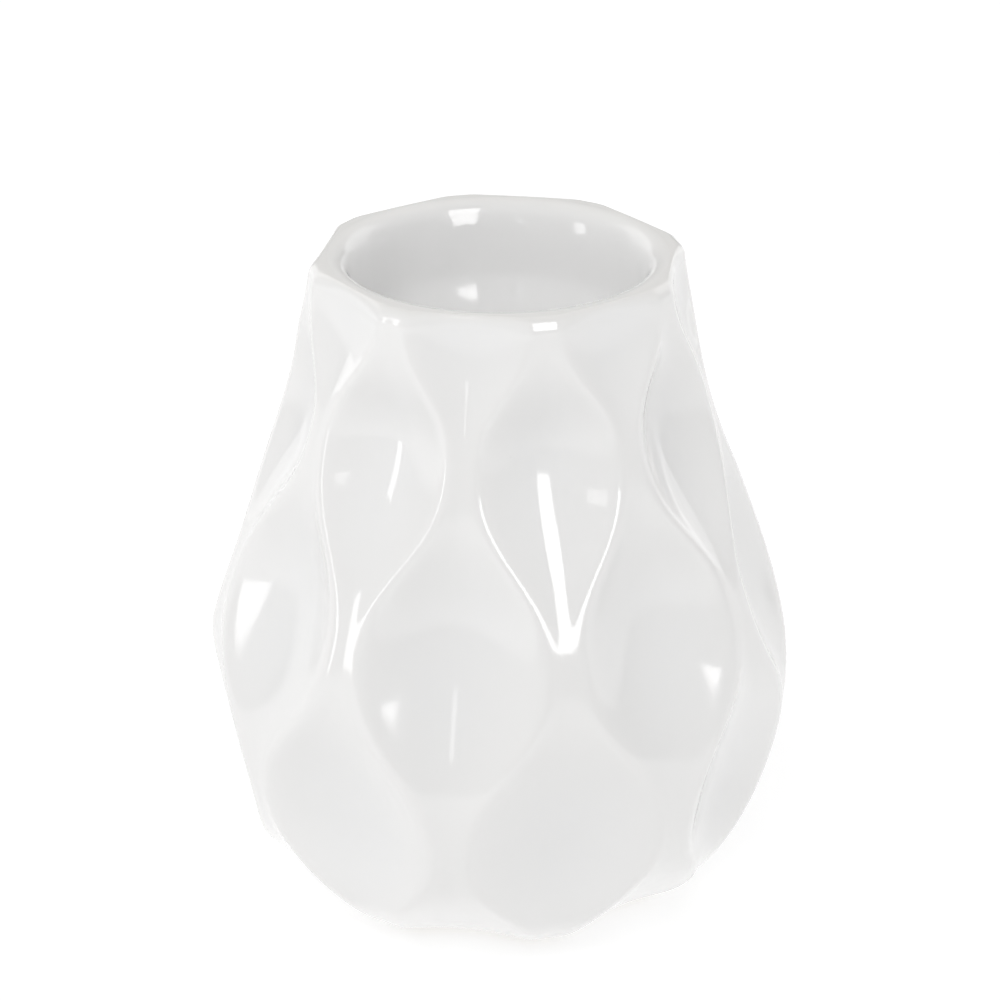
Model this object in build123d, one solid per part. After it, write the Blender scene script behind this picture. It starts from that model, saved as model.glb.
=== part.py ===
from build123d import *
import math
import os

# A small flower vase of glazed, slip-cast stoneware. It stands on its foot at z = 0 with its
# axis on +Z. Sizes are millimetres and angles are degrees. The outside is pressed with rows of
# leaf-shaped scoops, every other row turned by half a leaf, and the ridges between the scoops
# run up the wall as soft waves. The solids are the fired clay and the coats of glaze on it.

# Overall sizes
height = 100.0            # table to the crest of the lip
foot_radius = 25.0        # outline, where it meets the table
belly_radius = 44.8       # outline, at the widest place
belly_height = 35.0       # height of the widest place
rim_radius = 27.5         # outline, where the lip starts to round over

# Sweep of the outline between those places: handles of two smooth arcs, as shares of the step
# from one place to the next
heel_reach = 0.90         # outwards from the foot
heel_rise = 0.14          # upwards from the foot
heel_pull = 0.18          # downwards from the belly
shoulder_pull = 0.33      # upwards from the belly
neck_pull = 0.54          # downwards from the rim
neck_reach = 0.32         # outwards from the rim

# Leaf-shaped scoops, listed from the rim row down to the foot row
leaves_round = 8
row_pitches = (20.0, 25.5, 29.5, 25.0)       # spacing of the rows, shared out over the height
scoop_depths = (2.2, 5.4, 6.4, 5.9, 3.2)     # depth in the middle of a leaf
leaf_swell = 0.70         # how far a leaf widens and narrows, 0 for straight flutes
leaf_point = 0.03         # how much the tips are drawn out
narrow_fill = 0.6         # how much of its depth a narrow part keeps, 0 for the least
ridge_crispness = 6.5     # larger for a sharper ridge between two scoops

# Lip and inside
lip_rise = 2.4            # height of the rounding outside the crest
lip_width = 1.0           # from the bottom of a scoop at the rim in to the round crest
lip_wave = 0.4            # how far the crest's outer edge follows the scoops, 0 for a circle
mouth_flare = 4.4         # how much narrower the mouth is at mouth_depth than at the crest
mouth_depth = 10.0        # the mouth's rounded funnel ends this far down
mouth_lean = 1.1          # lean of the funnel just inside the crest
throat_step = 3.2         # how much narrower the throat is than the end of the funnel
throat_depth = 24.0       # distance of the throat below the crest
wall = 4.0                # thinnest wall, behind the middle of a scoop
cavity_floor = 6.0        # height of the floor inside
floor_radius = 15.0       # flat middle of that floor

# Sweep of the inside, as shares of the step from one place to the next
flare_turn = 2 / 3        # how much of the mouth's rounding keeps to its lower lean
funnel_start = 0.5        # how far that lean carries on below, as a share of the above
funnel_end = 0.5          # how long the funnel is upright over the throat
throat_hold = 0.12        # how long the wall stays upright under the throat
cavity_top = 0.60         # how long it stays upright above the widest place
cavity_bottom = 0.60      # how long it stays upright under the widest place
floor_sweep = 0.70        # how far the floor runs out before it turns up

# Foot and glaze
ring_width = 4.0          # bare ring that the vase stands on
recess_depth = 1.8        # hollow under the middle of the base
glaze = 0.35              # thickness of a coat of glaze
bare_height = 1.2         # the outside coat stops this far above the table

# Fineness of the lofts
points_per_leaf = 16
heel_sections = 11
neck_sections = 15
lip_sections = 4

# Sizes that follow from those above
crest_radius = rim_radius - scoop_depths[0] - lip_width
mouth_radius = crest_radius - mouth_flare
throat_radius = mouth_radius - throat_step
cavity_radius = belly_radius - max(scoop_depths) - wall - 2 * glaze
recess_radius = foot_radius - scoop_depths[-1] - ring_width


def row_heights():
    """Heights of the rows from the rim down: the pitches, stretched to fill the height."""
    scale = height / sum(row_pitches)
    heights = [height]
    for pitch in row_pitches:
        heights.append(heights[-1] - pitch * scale)
    return heights


def row_at(z):
    """Row number at height z: 0 at the rim row, 1 at the next, counted evenly in between."""
    heights = row_heights()
    for row, (upper, lower) in enumerate(zip(heights, heights[1:])):
        if z >= lower:
            return row + (upper - z) / (upper - lower)
    return float(len(row_pitches))


def scoop_depth(row):
    """Depth of the scoops at a row number, easing from one row's depth to the next."""
    upper = min(int(row), len(scoop_depths) - 2)
    share = (1 - math.cos(math.pi * (row - upper))) / 2
    return scoop_depths[upper] * (1 - share) + scoop_depths[upper + 1] * share


def scoop(angle, z):
    """How far the wall is pressed in at an angle and height.

    Leaves stand in columns half a leaf apart, and where one column is wide the next is narrow.
    Each leaf is a hollow, deepest in the middle and nothing at its edge. The hollows of the four
    nearest columns run together through a soft maximum, which leaves the ridges between them.
    """
    row = row_at(z)
    column = 180 / leaves_round
    swell = leaf_swell * math.cos(math.pi * row) - leaf_point * math.cos(3 * math.pi * row)
    widest = column / 2 * (1 + leaf_swell - leaf_point)
    near = abs((angle + column) % (2 * column) - column)
    odd_width = column / 2 * (1 - swell)
    even_width = column / 2 * (1 + swell)
    neighbours = (
        (odd_width, near),
        (even_width, column - near),
        (odd_width, 2 * column - near),
        (even_width, column + near),
    )
    total = 0
    for width, offset in neighbours:
        hollow = (width ** 2 - offset ** 2) / (widest ** (2 - narrow_fill) * width ** narrow_fill)
        total += math.exp(ridge_crispness * hollow)
    return scoop_depth(row) * math.log(total) / ridge_crispness


def outline_points(coat):
    """Radius and height of the outline from the foot to the rim, under a coat of glaze."""
    top = height - lip_rise
    foot = (foot_radius - coat, 0)
    belly = (belly_radius - coat, belly_height)
    rim = (rim_radius - coat, top)
    heel_arc = Bezier(
        foot,
        (foot[0] + heel_reach * (belly_radius - foot_radius), heel_rise * belly_height),
        (belly[0], belly_height - heel_pull * belly_height),
        belly,
    )
    neck_arc = Bezier(
        belly,
        (belly[0], belly_height + shoulder_pull * (top - belly_height)),
        (rim[0] + neck_reach * (belly_radius - rim_radius), top - neck_pull * (top - belly_height)),
        rim,
    )
    heel = [heel_arc @ (i / heel_sections) for i in range(heel_sections)]
    neck = [neck_arc @ (i / neck_sections) for i in range(neck_sections + 1)]
    return [(point.X, point.Y) for point in heel + neck]


def section(radius_at, z):
    """Closed smooth curve at height z, through radius_at(angle) all the way round."""
    count = leaves_round * points_per_leaf
    points = []
    for i in range(count):
        angle = 360 * i / count
        radius = radius_at(angle)
        turn = math.radians(angle)
        points.append(Vector(radius * math.sin(turn), -radius * math.cos(turn), z))
    even = [float(i) for i in range(count + 1)]
    return Wire([Edge.make_spline(points, periodic=True, parameters=even)])


def outer_form(coat):
    """Solid inside the scooped outside of the vase, up to the crest of the lip."""
    sections = []
    for radius, z in outline_points(coat):
        sections.append(section(lambda angle: radius - scoop(angle, z), z))
    edge = rim_radius - coat
    edge_height = height - lip_rise
    for i in range(1, lip_sections + 1):
        turn = math.pi / 2 * i / lip_sections
        spread = lip_wave + (1 - lip_wave) * math.cos(turn)
        sections.append(section(
            lambda angle: crest_radius + (edge - scoop(angle, edge_height) - crest_radius) * spread,
            edge_height + (lip_rise - coat) * math.sin(turn),
        ))
    return Solid.make_loft(sections)


def smooth_arc(start, start_handle, end_handle, end):
    """Arc from start to end. Each handle is a step away from its own end of the arc."""
    return Bezier(
        start,
        (start[0] + start_handle[0], start[1] + start_handle[1]),
        (end[0] + end_handle[0], end[1] + end_handle[1]),
        end,
    )


def inside_arcs(coat):
    """Arcs of the inside outline from the crest to the floor: coat 0 is the face of the glaze,
    and a coat of glaze is the clay under it."""
    crest = (crest_radius, height - coat)
    mouth = (mouth_radius + coat, height - mouth_depth)
    throat = (throat_radius + coat, height - throat_depth)
    belly = (cavity_radius + coat, belly_height)
    floor = (floor_radius, cavity_floor - coat)
    fall = throat[1] - belly[1]
    drop = belly[1] - floor[1]
    lean = (mouth_lean, mouth_depth * flare_turn)
    flare = smooth_arc(crest, (mouth[0] + mouth_lean - crest[0], 0), lean, mouth)
    lean_on = (-lean[0] * funnel_start, -lean[1] * funnel_start)
    funnel = smooth_arc(mouth, lean_on, (0, (mouth[1] - throat[1]) * funnel_end), throat)
    shoulder = smooth_arc(throat, (0, -fall * throat_hold), (0, fall * cavity_top), belly)
    floor_handle = (floor_sweep * (belly[0] - floor[0]), 0)
    heel = smooth_arc(belly, (0, -drop * cavity_bottom), floor_handle, floor)
    return [flare, funnel, shoulder, heel]


def inside_plug():
    """Everything inside the clay, up to the crest, as one turned solid."""
    floor = cavity_floor - glaze
    closing = [
        Line((crest_radius, height - glaze), (crest_radius, height)),
        Line((crest_radius, height), (0, height)),
        Line((0, height), (0, floor)),
        Line((0, floor), (floor_radius, floor)),
    ]
    return turned(inside_arcs(glaze) + closing)


def inner_coat():
    """Coat of glaze on the inside, from the crest of the lip to the middle of the floor."""
    floor = cavity_floor - glaze
    closing = [
        Line((crest_radius, height - glaze), (crest_radius, height)),
        Line((floor_radius, cavity_floor), (0, cavity_floor)),
        Line((0, cavity_floor), (0, floor)),
        Line((0, floor), (floor_radius, floor)),
    ]
    return turned(inside_arcs(0) + inside_arcs(glaze) + closing)


def turned(edges):
    """Solid of revolution about Z from the closed outline that the edges make."""
    face = Plane.XZ * make_face(Wire(edges))
    return revolve(face, Axis.Z)


def base_recess():
    """Hollow under the base that leaves the bare ring round it."""
    upright = (Align.CENTER, Align.CENTER, Align.MIN)
    return Cone(recess_radius, recess_radius - recess_depth, recess_depth, align=upright)


def build():
    """All the solids of the vase, by node name."""
    clay_form = outer_form(glaze)
    plug = inside_plug()
    bare_foot = Pos(0, 0, bare_height) * Cylinder(
        2 * belly_radius, 2 * bare_height, align=(Align.CENTER, Align.CENTER, Align.MAX)
    )
    clay_body = clay_form - plug - base_recess()
    outer_glaze = outer_form(0) - bare_foot - clay_form - plug
    return {"clay_body": clay_body, "outer_glaze": outer_glaze, "inner_glaze": inner_coat()}


os.makedirs("parts", exist_ok=True)
for name, solid in build().items():
    print(name, round(solid.volume, 1), "mm3 in", len(solid.solids()), "solid")
    export_step(solid, os.path.join("parts", name + ".step"))
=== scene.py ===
# %% [markdown]
# # A white glazed flower vase with leaf-shaped scoops
#
# The real vase is slip-cast stoneware, about as tall as a hand is wide. A potter made a master
# with staggered leaf-shaped scoops, cast it in a plaster mould, fired it, and dipped it in a
# glossy white glaze. This lesson rebuilds the three things that the eye meets: the coat of glaze
# on the outside, the coat on the inside, and the bare clay that it stands on.
#
# The imported model is loaded first. It is the frame that every piece is placed in. The looks must
# not make the vase any bigger.

# %% The frame
import math

import bpy
import numpy as np
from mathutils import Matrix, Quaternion, Vector


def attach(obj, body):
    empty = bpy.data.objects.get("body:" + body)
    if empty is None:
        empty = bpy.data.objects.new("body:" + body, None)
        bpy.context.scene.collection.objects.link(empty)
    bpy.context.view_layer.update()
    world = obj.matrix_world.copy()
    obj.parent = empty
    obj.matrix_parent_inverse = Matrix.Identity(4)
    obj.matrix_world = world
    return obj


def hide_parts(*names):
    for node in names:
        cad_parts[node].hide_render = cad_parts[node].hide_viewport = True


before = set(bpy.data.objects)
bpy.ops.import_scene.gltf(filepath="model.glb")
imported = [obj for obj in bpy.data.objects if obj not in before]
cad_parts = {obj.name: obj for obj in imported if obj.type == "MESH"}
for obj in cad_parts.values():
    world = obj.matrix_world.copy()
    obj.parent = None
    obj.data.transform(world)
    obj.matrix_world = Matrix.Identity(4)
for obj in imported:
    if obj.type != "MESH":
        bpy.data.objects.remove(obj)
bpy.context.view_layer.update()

# %% [markdown]
# ## Sizes
#
# A maker writes the sizes down before touching the clay. These are millimetres and the same as
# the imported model's. The mesh is in metres, so one number turns one into the other at the end.

# %% Sizes of the vase
MM = 0.001
height = 100.0
foot_radius = 25.0
belly_radius = 44.8
belly_height = 35.0
rim_radius = 27.5
lip_rise = 2.4
lip_width = 1.0
lip_wave = 0.4
glaze = 0.35
bare_height = 1.2

# Handles of the outline's arcs, as shares of the step from one place to the next
heel_reach = 0.90
heel_rise = 0.14
heel_pull = 0.18
shoulder_pull = 0.33
neck_pull = 0.54
neck_reach = 0.32

leaves_round = 8
row_pitches = np.array([20.0, 25.5, 29.5, 25.0])
scoop_depths = np.array([2.2, 5.4, 6.4, 5.9, 3.2])
leaf_swell = 0.70
leaf_point = 0.03
narrow_fill = 0.6
ridge_crispness = 6.5

crest_radius = rim_radius - scoop_depths[0] - lip_width
print("crest of the lip at radius", round(crest_radius, 2), "mm")

# %% [markdown]
# ## Smooth arcs
#
# The outline of a pot is a few long sweeps. A Bezier arc is the simplest curve that starts and
# ends where a maker wants and leaves in the direction that a maker wants, so every outline here,
# outside and inside, is two or more of them end to end.


# %% A sweep as a Bezier arc
def sweep(start, start_handle, end_handle, end, count, closed=False):
    """Points on an arc. The start counts (1-t) cubed, its handle 3t(1-t) squared, the end's
    handle 3t squared times (1-t), and the end t cubed, with t running from 0 towards 1."""
    t = np.linspace(0, 1, count, endpoint=closed)[:, None]
    points = [np.array(point, float) for point in (start, start_handle, end_handle, end)]
    weights = [(1 - t) ** 3, 3 * t * (1 - t) ** 2, 3 * t ** 2 * (1 - t), t ** 3]
    return sum(weight * point for weight, point in zip(weights, points))


# %% Outline of the outside
rim_height = height - lip_rise
foot = (foot_radius, 0)
belly = (belly_radius, belly_height)
rim = (rim_radius, rim_height)
wide_step = belly_radius - foot_radius
tall_step = rim_height - belly_height
outline_points = 2000

heel_sweep = sweep(
    foot,
    (foot_radius + heel_reach * wide_step, heel_rise * belly_height),
    (belly_radius, belly_height * (1 - heel_pull)),
    belly, outline_points)
neck_sweep = sweep(
    belly,
    (belly_radius, belly_height + shoulder_pull * tall_step),
    (rim_radius + neck_reach * (belly_radius - rim_radius), rim_height - neck_pull * tall_step),
    rim, outline_points, closed=True)
outline = np.vstack([heel_sweep, neck_sweep])
print("outline from", outline[0], "to", outline[-1])

# %% [markdown]
# ## The scoops
#
# Each scoop is a leaf: wide in the middle, drawn in at the tips. The leaves stand in columns, and
# where one column is wide its neighbours are narrow, so the ridges between them wander left and
# right in a wave. Carving every leaf by hand would take days. One formula does it: each column
# is a shallow hollow as wide as a cosine wave says, and where hollows meet they run together
# through a soft maximum. What is left standing between them is the ridge, soft and continuous.


# %% Rows of leaves and the depth of each
row_heights = height - np.concatenate([[0.0], np.cumsum(row_pitches)]) * height / row_pitches.sum()


def row_at(z):
    """Row number at a height, counted evenly between the heights of the rows."""
    return np.interp(-z, -row_heights, np.arange(len(row_heights)))


def depth_at(row):
    """Depth of the scoops, easing from one row's depth to the next along half a cosine wave."""
    upper = np.clip(row.astype(int), 0, len(scoop_depths) - 2)
    share = (1 - np.cos(np.pi * (row - upper))) / 2
    return scoop_depths[upper] * (1 - share) + scoop_depths[upper + 1] * share


print("rows at heights", np.round(row_heights, 1))


# %% How far the wall is pressed in
def hollow_at(angle, z):
    """Hollow of the leaves, 1 in the middle of a wide one and about 0 on a ridge. A column's own
    hollow is its half width squared less the distance from its middle squared, over its width,
    and the four nearest columns are joined by the logarithm of the sum of their exponentials."""
    row = row_at(z)
    column = 180 / leaves_round
    swell = leaf_swell * np.cos(np.pi * row) - leaf_point * np.cos(3 * np.pi * row)
    widest = column / 2 * (1 + leaf_swell - leaf_point)
    near = np.abs((angle + column) % (2 * column) - column)
    odd_width = column / 2 * (1 - swell)
    even_width = column / 2 * (1 + swell)
    total = 0
    for width, offset in ((odd_width, near), (even_width, column - near),
                          (odd_width, 2 * column - near), (even_width, column + near)):
        own = (width ** 2 - offset ** 2) / (widest ** (2 - narrow_fill) * width ** narrow_fill)
        total = total + np.exp(ridge_crispness * own)
    return np.log(total) / ridge_crispness


def scoop(angle, z):
    """How far in the wall is pressed: the hollow times the depth of its row."""
    return hollow_at(angle, z) * depth_at(row_at(z))


print("scoop in the middle of a belly leaf", round(float(scoop(0.0, row_heights[2])), 2), "mm")

# %% [markdown]
# ## The hand in it
#
# Plaster moulds wear and wet clay slumps a little as it is turned out, so no two scoops are quite
# alike. A few slow waves round and up the wall, a tenth of a millimetre high or less, are enough
# to make the reflections wander as they do on a real pot.


# %% Slump of the wet wall
def slump(angle, z):
    """Sum of slow sine waves: each has a count round the wall, a rate up it, a phase and a size.
    The sum fades to nothing at the foot and at the crest, where pieces meet."""
    turn = np.radians(angle)
    waves = ((2, 0.021, 0.4, 0.10), (3, 0.034, 2.1, 0.08), (5, 0.052, 4.4, 0.06),
             (7, 0.087, 1.3, 0.04), (11, 0.117, 5.2, 0.025))
    fade = np.clip(z / 6, 0, 1) * np.clip((height - z) / 4, 0, 1)
    return fade * sum(size * np.sin(count * turn + rate * z * np.pi / 2 + phase)
                      for count, rate, phase, size in waves)


# %% [markdown]
# ## A surface on a grid
#
# All three pieces are surfaces of radius over angle and height. The angle runs round the pot and
# closes on itself, so the last column of faces joins the first and no seam is left. One helper
# turns such a grid into a mesh, whole arrays at a time.

# %% From a grid to a piece
columns_round = 440
angles = np.arange(columns_round) * 360 / columns_round


def piece_from_grid(name, radius, z, cap=None):
    """Mesh of the points (radius sin angle, -radius cos angle, z). Rows of the grid go up the
    outside, so faces look outwards. A cap closes the first or the last row with a fan of
    triangles to the middle of the row."""
    turn = np.radians(angles)[None, :]
    grid = np.stack([radius * np.sin(turn), -radius * np.cos(turn), z + 0 * turn], -1) * MM
    rows, cols = grid.shape[:2]
    low = np.arange(rows - 1)[:, None] * cols
    left = np.arange(cols)[None, :]
    right = (left + 1) % cols
    faces = np.stack([low + left, low + right, low + cols + right, low + cols + left], -1)
    faces = faces.reshape(-1, 4)
    points = grid.reshape(-1, 3)
    fans = np.zeros((0, 3), int)
    hub = np.full(cols, len(points))
    if cap == "last":
        last = (rows - 1) * cols
        points = np.vstack([points, grid[-1].mean(axis=0)])
        fans = np.stack([last + left[0], last + right[0], hub], -1)
    if cap == "first":
        points = np.vstack([points, grid[0].mean(axis=0)])
        fans = np.stack([right[0], left[0], hub], -1)
    mesh = bpy.data.meshes.new(name)
    mesh.from_pydata(points.tolist(), [], faces.tolist() + fans.tolist())
    mesh.polygons.foreach_set("use_smooth", np.ones(len(mesh.polygons), bool))
    mesh.update()
    piece = bpy.data.objects.new(name, mesh)
    bpy.context.scene.collection.objects.link(piece)
    print(name, len(mesh.polygons), "faces")
    return piece


def paint_attribute(piece, name, values):
    """Stores one number for each vertex, for a material to read. A cap's middle gets 0."""
    layer = piece.data.attributes.new(name, "FLOAT", "POINT")
    full = np.zeros(len(piece.data.vertices))
    full[:values.size] = values.ravel()
    layer.data.foreach_set("value", full)


# %% [markdown]
# ## The outside coat of glaze
#
# The glaze follows the clay, so its surface is the outline less the scoops. Two places need
# care. At the bottom the coat ends in a small rounded bead, where the potter wiped it back from
# the foot so that it wouldn't stick to the kiln shelf. At the top it rolls over the lip in a
# quarter of an ellipse and meets the inside coat along the crest, both level there, so no line
# shows between them.

# %% Rows up the outside
wall_rows = 188
lip_rows = 18
bead_rows = 8


def even_rows(profile, count):
    """Points at equal steps along a profile, found from its running length."""
    run = np.concatenate([[0.0], np.cumsum(np.hypot(*np.diff(profile, axis=0).T))])
    steps = np.linspace(0, run[-1], count)
    return np.stack([np.interp(steps, run, profile[:, axis]) for axis in (0, 1)], -1)


bead_height = 0.7
bead_turn = np.linspace(0, np.pi / 2, bead_rows, endpoint=False)
bead_z = bare_height + bead_height * (1 - np.cos(bead_turn))
bead_sunk = glaze * (1 - np.sin(bead_turn))
bead_r = np.interp(bead_z, outline[:, 1], outline[:, 0])

above_bead = outline[outline[:, 1] > bare_height + bead_height]
wall = even_rows(above_bead, wall_rows)

# %% Radius of the outside coat
low_r = np.concatenate([bead_r - bead_sunk, wall[:, 0]])[:, None]
low_z = np.concatenate([bead_z, wall[:, 1]])[:, None]
angle_grid = angles[None, :] + 0 * low_z
low_radius = low_r - scoop(angle_grid, low_z + 0 * angle_grid) + slump(angle_grid, low_z)

lip_turn = (np.pi / 2 * np.arange(1, lip_rows + 1) / lip_rows)[:, None]
lip_z = rim_height + lip_rise * np.sin(lip_turn)
edge_radius = low_radius[-1][None, :]
lip_share = lip_wave + (1 - lip_wave) * np.cos(lip_turn)
lip_radius = crest_radius + (edge_radius - crest_radius) * lip_share
land_share = np.array([[0.75], [0.5], [0.25], [0.0]])
land_radius = crest_radius + (lip_radius[-1] - crest_radius) * land_share
land_z = height + 0 * land_share

outside = piece_from_grid(
    "outside_glaze_coat",
    np.vstack([low_radius, lip_radius, land_radius]),
    np.vstack([low_z, lip_z, land_z]))

# %% Where the melted glaze gathers
pool_low = hollow_at(angle_grid, low_z + 0 * angle_grid)
pool_lip = pool_low[-1][None, :] * np.cos(lip_turn)
pool_land = 0 * land_radius
paint_attribute(outside, "pool", np.clip(np.vstack([pool_low, pool_lip, pool_land]), 0, 1))
bead_fade = np.exp(-(low_z - bare_height) / 0.8) + 0 * angle_grid
lip_thin = np.sin(lip_turn) ** 3 + 0 * edge_radius
paint_attribute(outside, "thin", np.vstack([bead_fade, lip_thin, 1 + 0 * land_radius]))

# %% [markdown]
# ## The inside coat of glaze
#
# From the crest the lip rolls into a shallow funnel, which narrows to a throat. Under the throat
# the wall swings out into the belly and round into the floor. Slip-cast walls are even, so the
# inside is a smooth turned form about a wall's thickness in from the scoops.

# %% Sizes of the inside
mouth_flare = 4.4
mouth_depth = 10.0
mouth_lean = 1.1
throat_step = 3.2
throat_depth = 24.0
wall_thickness = 4.0
cavity_floor = 6.0
floor_radius = 15.0

# Handles of the inside's arcs, as shares of the step from one place to the next
flare_turn = 2 / 3
funnel_start = 0.5
funnel_end = 0.5
throat_hold = 0.12
cavity_top = 0.60
cavity_bottom = 0.60
floor_sweep = 0.70
hub_radius = 0.5

# %% Outline of the inside
mouth = (crest_radius - mouth_flare, height - mouth_depth)
throat = (mouth[0] - throat_step, height - throat_depth)
cavity = (belly_radius - scoop_depths.max() - wall_thickness - 2 * glaze, belly_height)
corner = (floor_radius, cavity_floor)
fall = throat[1] - cavity[1]
drop = cavity[1] - corner[1]

inside_outline = np.vstack([
    sweep((crest_radius, height), (mouth[0] + mouth_lean, height),
          (mouth[0] + mouth_lean, mouth[1] + mouth_depth * flare_turn), mouth, 40),
    sweep(mouth, (mouth[0] - mouth_lean * funnel_start,
                  mouth[1] - mouth_depth * flare_turn * funnel_start),
          (throat[0], throat[1] + funnel_end * (mouth[1] - throat[1])), throat, 24),
    sweep(throat, (throat[0], throat[1] - throat_hold * fall),
          (cavity[0], cavity[1] + cavity_top * fall), cavity, 40),
    sweep(cavity, (cavity[0], cavity[1] - cavity_bottom * drop),
          (corner[0] + floor_sweep * (cavity[0] - corner[0]), corner[1]), corner, 40),
    sweep(corner, (floor_radius * 2 / 3, cavity_floor), (floor_radius / 3, cavity_floor),
          (hub_radius, cavity_floor), 16, closed=True),
])
print("throat radius", throat[0], "cavity radius", round(cavity[0], 2), "mm")

# %% Surface of the inside coat
inside_r = inside_outline[:, :1]
inside_z = inside_outline[:, 1:]
inside_angles = angles[None, :] + 0 * inside_z
wander = slump(inside_angles + 40, inside_z) * 0.8
inside = piece_from_grid(
    "inside_glaze_coat", inside_r + wander * np.clip(inside_r / 15, 0, 1), inside_z, cap="last")
paint_attribute(inside, "pool", 0.5 + 0 * inside_angles)
near_crest = np.exp(-(height - inside_z) / 0.9)
paint_attribute(inside, "thin", near_crest + 0 * inside_angles)

# %% [markdown]
# ## The bare clay foot
#
# The vase stands on a narrow ring of bare fired clay. Inside the ring the base is hollowed a
# little so that it can't rock. The ring's outer corner is rubbed round with a wet sponge, and the
# clay carries on up under the edge of the glaze.

# %% Surface of the foot, from the middle of the base out and up
ring_width = 4.0
recess_depth = 1.8
recess_radius = foot_radius - scoop_depths[-1] - ring_width
sponge = 0.35

under_r = np.concatenate([
    np.linspace(hub_radius, recess_radius - recess_depth - 0.6, 20),
    recess_radius - recess_depth + np.linspace(-0.4, 0.3, 6),
    recess_radius + np.linspace(-1.3, 0.3, 8)])[:, None]
slope = np.clip((recess_radius - under_r) / recess_depth, 0, 1)
under_z = recess_depth * slope ** 2 * (3 - 2 * slope)

# %% The ring, its sponged corner and the clay under the glaze
corner_turn = np.linspace(0, np.pi / 2, 7)[1:, None]
foot_edge = foot_radius - glaze - scoop(angles, np.full(columns_round, 0.0))[None, :]
ring_share = np.linspace(0, 1, 8)[:, None]
ring_inner = recess_radius + 0.4
ring_r = ring_inner + (foot_edge - sponge - ring_inner) * ring_share
corner_r = foot_edge - sponge + sponge * np.sin(corner_turn)
corner_z = sponge * 0.5 * (1 - np.cos(corner_turn))
skirt_z = np.linspace(corner_z[-1, 0] + 0.05, bare_height + bead_height, 12)[:, None]
skirt_r = np.interp(skirt_z, outline[:, 1], outline[:, 0]) - glaze
skirt_angles = angles[None, :] + 0 * skirt_z
skirt_radius = skirt_r - scoop(skirt_angles, skirt_z + 0 * skirt_angles)

flat = np.zeros((1, columns_round))
foot_piece = piece_from_grid(
    "bare_clay_foot",
    np.vstack([under_r + flat, ring_r, corner_r, skirt_radius]),
    np.vstack([under_z, 0 * ring_share, corner_z, skirt_z]), cap="first")
print("foot ring from", round(ring_inner, 1), "to about", round(float(foot_edge.mean()), 1), "mm")

# %% [markdown]
# ## Finishes
#
# Glaze is glass melted onto clay. Its colour is the white of the body seen through a thin clear
# layer, a touch warmer where the melt ran thin over ridges and the lip, a touch cooler where it
# gathered in the scoops. What makes it look fired and not painted is small: a faint orange peel
# in the reflections, pinholes where bubbles broke, and a few dark specks of iron.


# %% A helper to wire nodes in a row
def new_finish(name):
    """Material with its nodes, its principled shader and a maker of new nodes."""
    finish = bpy.data.materials.new(name)
    finish.use_nodes = True
    nodes = finish.node_tree.nodes
    links = finish.node_tree.links

    def add(kind, inputs=None, **settings):
        node = nodes.new(kind)
        for key, value in settings.items():
            setattr(node, key, value)
        for key, value in (inputs or {}).items():
            if isinstance(value, bpy.types.NodeSocket):
                links.new(value, node.inputs[key])
            else:
                node.inputs[key].default_value = value
        return node

    return finish, nodes["Principled BSDF"], add, links


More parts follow.
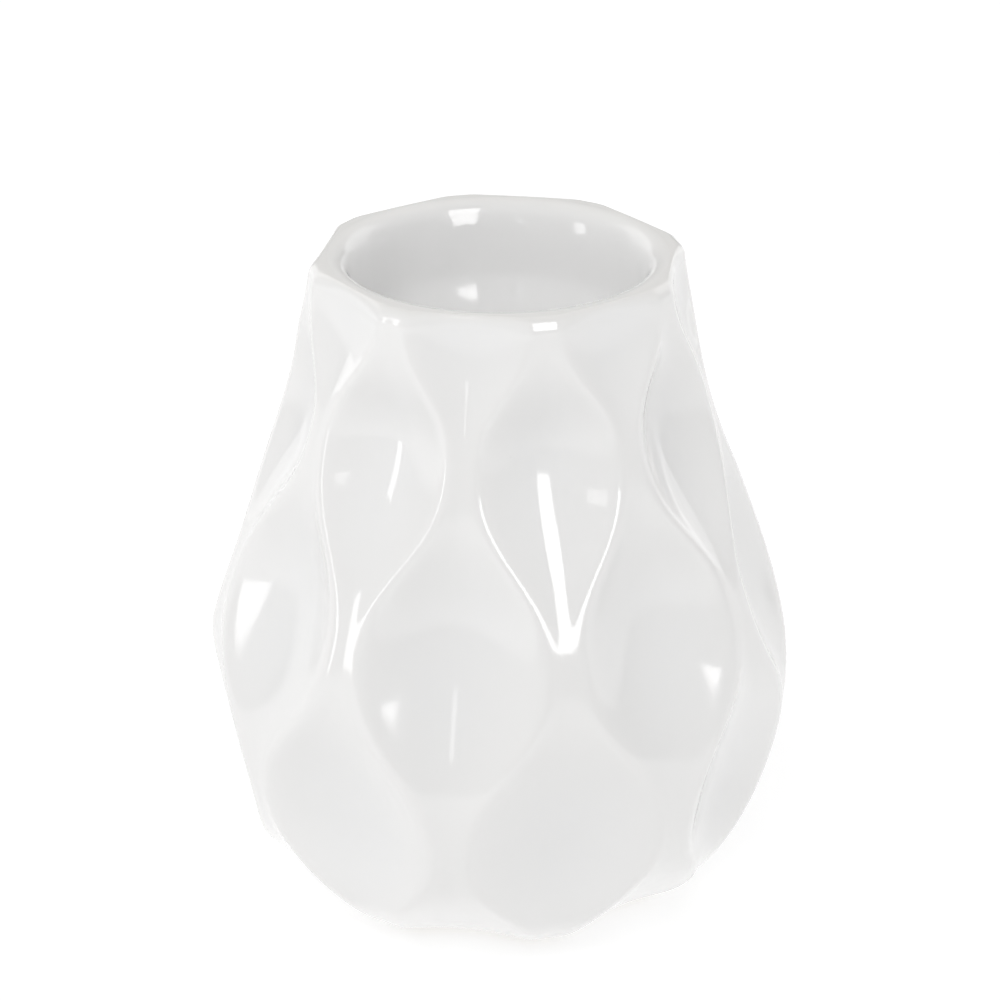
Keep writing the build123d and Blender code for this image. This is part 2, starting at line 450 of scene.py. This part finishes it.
# %% The glossy white glaze
def glaze_finish(name, ridge_tone, pool_tone, specks):
    """White glaze: tone from the pool and thin attributes and slow noise, dark iron specks and
    pinholes from cells chosen at random, and bump from orange peel, ripples and pinholes."""
    finish, shader, add, links = new_finish(name)
    place = add("ShaderNodeTexCoord").outputs["Object"]
    pool = add("ShaderNodeAttribute", attribute_name="pool").outputs["Fac"]
    thin = add("ShaderNodeAttribute", attribute_name="thin").outputs["Fac"]

    cloud = add("ShaderNodeTexNoise", {"Vector": place, "Scale": 55, "Detail": 4}).outputs["Fac"]
    gathered = add("ShaderNodeMapRange", {"Value": pool, "From Min": 0.0, "From Max": 0.9})
    mixed = add("ShaderNodeMath", {0: gathered.outputs[0], 1: cloud}, operation="MULTIPLY")
    tone = add("ShaderNodeMix", {"Factor": mixed.outputs[0], 6: ridge_tone, 7: pool_tone},
               data_type="RGBA").outputs[2]
    worn = add("ShaderNodeMath", {0: thin, 1: 0.5}, operation="MULTIPLY", use_clamp=True)
    tone = add("ShaderNodeMix", {"Factor": worn.outputs[0], 6: tone, 7: (0.86, 0.845, 0.815, 1)},
               data_type="RGBA").outputs[2]

    def spots(scale, share, size):
        cells = add("ShaderNodeTexVoronoi", {"Vector": place, "Scale": scale})
        lucky = add("ShaderNodeSeparateColor", {"Color": cells.outputs["Color"]})
        chosen = add("ShaderNodeMath", {0: lucky.outputs[0], 1: share}, operation="LESS_THAN")
        own_size = add("ShaderNodeMath", {0: lucky.outputs[1], 1: size}, operation="MULTIPLY_ADD")
        own_size.inputs[2].default_value = size * 0.35
        edge = add("ShaderNodeMapRange", {
            "Value": cells.outputs["Distance"], "From Max": own_size.outputs[0],
            "To Min": 1.0, "To Max": 0.0}, interpolation_type="SMOOTHSTEP")
        return add("ShaderNodeMath", {0: edge.outputs[0], 1: chosen.outputs[0]},
                   operation="MULTIPLY").outputs[0]

    iron = spots(95, specks, 0.024)
    tone = add("ShaderNodeMix", {"Factor": iron, 6: tone, 7: (0.03, 0.025, 0.02, 1)},
               data_type="RGBA").outputs[2]
    pinholes = spots(210, specks * 1.6, 0.035)
    dulled = add("ShaderNodeMath", {0: pinholes, 1: 0.28}, operation="MULTIPLY").outputs[0]
    tone = add("ShaderNodeMix", {"Factor": dulled, 6: tone, 7: (0.28, 0.26, 0.24, 1)},
               data_type="RGBA").outputs[2]
    links.new(tone, shader.inputs["Base Color"])

    peel = add("ShaderNodeTexNoise", {"Vector": place, "Scale": 420, "Detail": 2}).outputs["Fac"]
    ripple = add("ShaderNodeTexNoise", {"Vector": place, "Scale": 90, "Detail": 1}).outputs["Fac"]
    dent = add("ShaderNodeMath", {0: pinholes, 1: -0.25}, operation="MULTIPLY_ADD")
    links.new(peel, dent.inputs[2])
    waves = add("ShaderNodeMath", {0: ripple, 1: 3.0}, operation="MULTIPLY_ADD")
    links.new(dent.outputs[0], waves.inputs[2])
    bump = add("ShaderNodeBump", {"Height": waves.outputs[0], "Strength": 1.0,
                                  "Distance": 0.000012})
    links.new(bump.outputs["Normal"], shader.inputs["Normal"])

    gloss = add("ShaderNodeMapRange", {"Value": cloud, "From Min": 0.3, "From Max": 0.7,
                                       "To Min": 0.05, "To Max": 0.10})
    links.new(gloss.outputs[0], shader.inputs["Roughness"])
    shader.inputs["IOR"].default_value = 1.52
    return finish


outside_finish = glaze_finish(
    "outside_white_glaze", (0.905, 0.900, 0.892, 1), (0.895, 0.896, 0.896, 1), specks=0.05)
# The inside coat is the same glaze painted a lighter white than the outside: painted light that
# stands in for the light the deep mouth gets too little of.
lightened_inside_finish = glaze_finish(
    "inside_glaze_painted_lighter", (0.930, 0.926, 0.920, 1), (0.920, 0.920, 0.918, 1), specks=0.08)

# %% [markdown]
# Bare stoneware is the opposite of glaze: matt, grainy and a shade darker where hands and
# shelves have rubbed it. Two noises, one for clouds and one for grog, do for its colour and bump.

# %% The bare fired clay
def clay_finish(name):
    """Warm off-white clay: slow clouds and fine grains in the colour, the grains in the bump."""
    finish, shader, add, links = new_finish(name)
    place = add("ShaderNodeTexCoord").outputs["Object"]
    cloud = add("ShaderNodeTexNoise", {"Vector": place, "Scale": 70, "Detail": 5}).outputs["Fac"]
    grain = add("ShaderNodeTexNoise", {"Vector": place, "Scale": 1900, "Detail": 3}).outputs["Fac"]
    tone = add("ShaderNodeMix", {"Factor": cloud, 6: (0.62, 0.575, 0.51, 1),
                                 7: (0.76, 0.72, 0.66, 1)}, data_type="RGBA").outputs[2]
    dust = add("ShaderNodeMapRange", {"Value": grain, "From Min": 0.62, "From Max": 0.72})
    tone = add("ShaderNodeMix", {"Factor": dust.outputs[0], 6: tone, 7: (0.42, 0.37, 0.31, 1)},
               data_type="RGBA").outputs[2]
    links.new(tone, shader.inputs["Base Color"])
    bump = add("ShaderNodeBump", {"Height": grain, "Strength": 0.8, "Distance": 0.00006})
    links.new(bump.outputs["Normal"], shader.inputs["Normal"])
    dull = add("ShaderNodeMapRange", {"Value": cloud, "To Min": 0.72, "To Max": 0.92})
    links.new(dull.outputs[0], shader.inputs["Roughness"])
    return finish


bare_clay_finish = clay_finish("bare_fired_clay")

# %% Each piece gets its finish and its place in the frame
for piece, finish, node, slot in (
        (outside, outside_finish, "outer_glaze", "outside_glaze"),
        (inside, lightened_inside_finish, "inner_glaze", "inside_glaze"),
        (foot_piece, bare_clay_finish, "clay_body", "bare_clay")):
    piece.data.materials.append(finish)
    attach(piece, "root")
    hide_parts(node)
    print(piece.name, "stands for", node, "with", finish.name)

# %% [markdown]
# ## The table
#
# A sheet of pale matt board, large enough to fill the view. It glows as painted light, though it
# is no lamp: the glow makes it a little brighter than the vase, keeps the shadow under the vase
# faint, and lights the vase from below.

# %% A pale board
board_half = 4.0
board_mesh = bpy.data.meshes.new("pale_board")
board_mesh.from_pydata(
    [(-board_half, -board_half, 0), (board_half, -board_half, 0),
     (board_half, board_half, 0), (-board_half, board_half, 0)], [], [(0, 1, 2, 3)])
board = bpy.data.objects.new("pale_board", board_mesh)
bpy.context.scene.collection.objects.link(board)

board_finish, board_shader, add, links = new_finish("glowing_board_paper")
board_place = add("ShaderNodeTexCoord").outputs["Object"]
fibre = add("ShaderNodeTexNoise", {"Vector": board_place, "Scale": 300, "Detail": 4})
board_tone = add("ShaderNodeMix", {"Factor": fibre.outputs["Fac"], 6: (0.46, 0.46, 0.46, 1),
                                   7: (0.48, 0.48, 0.48, 1)}, data_type="RGBA")
links.new(board_tone.outputs[2], board_shader.inputs["Base Color"])
board_shader.inputs["Roughness"].default_value = 0.8
board_shader.inputs["Specular IOR Level"].default_value = 0.1
# Painted light: the board glows white though it is no lamp. This fills in the shadow under the
# vase and lights the vase from below.
board_shader.inputs["Emission Color"].default_value = (1, 1, 1, 1)
board_shader.inputs["Emission Strength"].default_value = 0.62
board.data.materials.append(board_finish)

# %% [markdown]
# ## The camera
#
# It looks slightly down from close by, a little to the left of a column of leaves, so the mouth
# opens into view and the near leaves look larger than the far ones.

# %% Camera
aim_height = 0.05
camera_distance = 0.370
look_down = math.radians(27.21)
camera_turn = math.radians(-13.34)

camera_data = bpy.data.cameras.new("camera")
camera = bpy.data.objects.new("camera", camera_data)
bpy.context.scene.collection.objects.link(camera)
bpy.context.scene.camera = camera
level = camera_distance * math.cos(look_down)
camera.location = (level * math.sin(camera_turn), -level * math.cos(camera_turn),
                   camera_distance * math.sin(look_down) + aim_height)
towards = Vector((-math.sin(camera_turn) * math.cos(look_down),
                  math.cos(camera_turn) * math.cos(look_down), -math.sin(look_down)))
camera.rotation_euler = towards.to_track_quat("-Z", "Y").to_euler()
camera_data.sensor_width = 36
camera_data.lens = 87.98
camera_data.shift_x = 0.001587
camera_data.shift_y = 0.064985
camera_data.clip_start = 0.01
print("camera at", [round(value, 3) for value in camera.location])

# %% [markdown]
# ## Light
#
# A glossy white pot shows the studio more than it shows itself. The soft shading comes from
# large panels all round. The crisp streaks are mirror images of three smaller panels: a tall one
# at the right that leans over, a window low at the left, and a small one near the camera. A
# lighting hand flags and feathers lights until each does one of the two jobs, and here that is
# said outright: the small panels show only as mirror images, and the large ones only as shading.


# %% Softboxes round the vase
def softbox(name, azimuth, elevation, distance, width, tall, power, tilt=0):
    """Panel that faces the vase. Azimuth 0 is over the camera, and plus is to its right. A tilt
    turns the panel about its own middle, and a minus one leans its top to the right."""
    data = bpy.data.lights.new(name, "AREA")
    data.shape = "RECTANGLE"
    data.size = width
    data.size_y = tall
    data.energy = power
    panel = bpy.data.objects.new(name, data)
    bpy.context.scene.collection.objects.link(panel)
    turn = math.radians(azimuth) + camera_turn
    lift = math.radians(elevation)
    middle = Vector((0, 0, aim_height))
    panel.location = middle + distance * Vector((
        math.sin(turn) * math.cos(lift), -math.cos(turn) * math.cos(lift), math.sin(lift)))
    facing = (middle - panel.location).to_track_quat("-Z", "Y")
    panel.rotation_euler = (facing @ Quaternion((0, 0, 1), math.radians(tilt))).to_euler()
    return panel


for name, azimuth, elevation, distance, width, tall, power, tilt in (
        ("right_strip", 29, 38, 0.90, 0.30, 0.76, 4.5, -8),
        ("left_window", -66, 12, 1.0, 0.15, 0.46, 0.9, 0),
        ("near_panel", -18, 22, 1.0, 0.06, 0.14, 0.06, 0)):
    mirrored = softbox(name, azimuth, elevation, distance, width, tall, power, tilt)
    mirrored.visible_diffuse = False
for name, azimuth, elevation, distance, width, tall, power in (
        ("front_overhead", -14, 58, 1.0, 0.9, 0.6, 6.0),
        ("left_side", -92, 15, 1.0, 0.6, 0.9, 1.8),
        ("right_side", 92, 15, 1.0, 0.6, 0.9, 1.9),
        ("back", 180, 30, 1.1, 1.2, 0.8, 3.2)):
    shading = softbox(name, azimuth, elevation, distance, width, tall, power)
    shading.visible_glossy = False
softbox("back_left", -135, 20, 1.0, 0.6, 0.8, 1.4)
softbox("back_right", 135, 20, 1.0, 0.6, 0.8, 1.4)

# %% The tent round it all
world = bpy.data.worlds.new("white_tent")
bpy.context.scene.world = world
world.use_nodes = True
tent = world.node_tree.nodes["Background"]
tent.inputs["Color"].default_value = (1, 1, 1, 1)
tent.inputs["Strength"].default_value = 0.22
bpy.context.scene.view_settings.view_transform = "Standard"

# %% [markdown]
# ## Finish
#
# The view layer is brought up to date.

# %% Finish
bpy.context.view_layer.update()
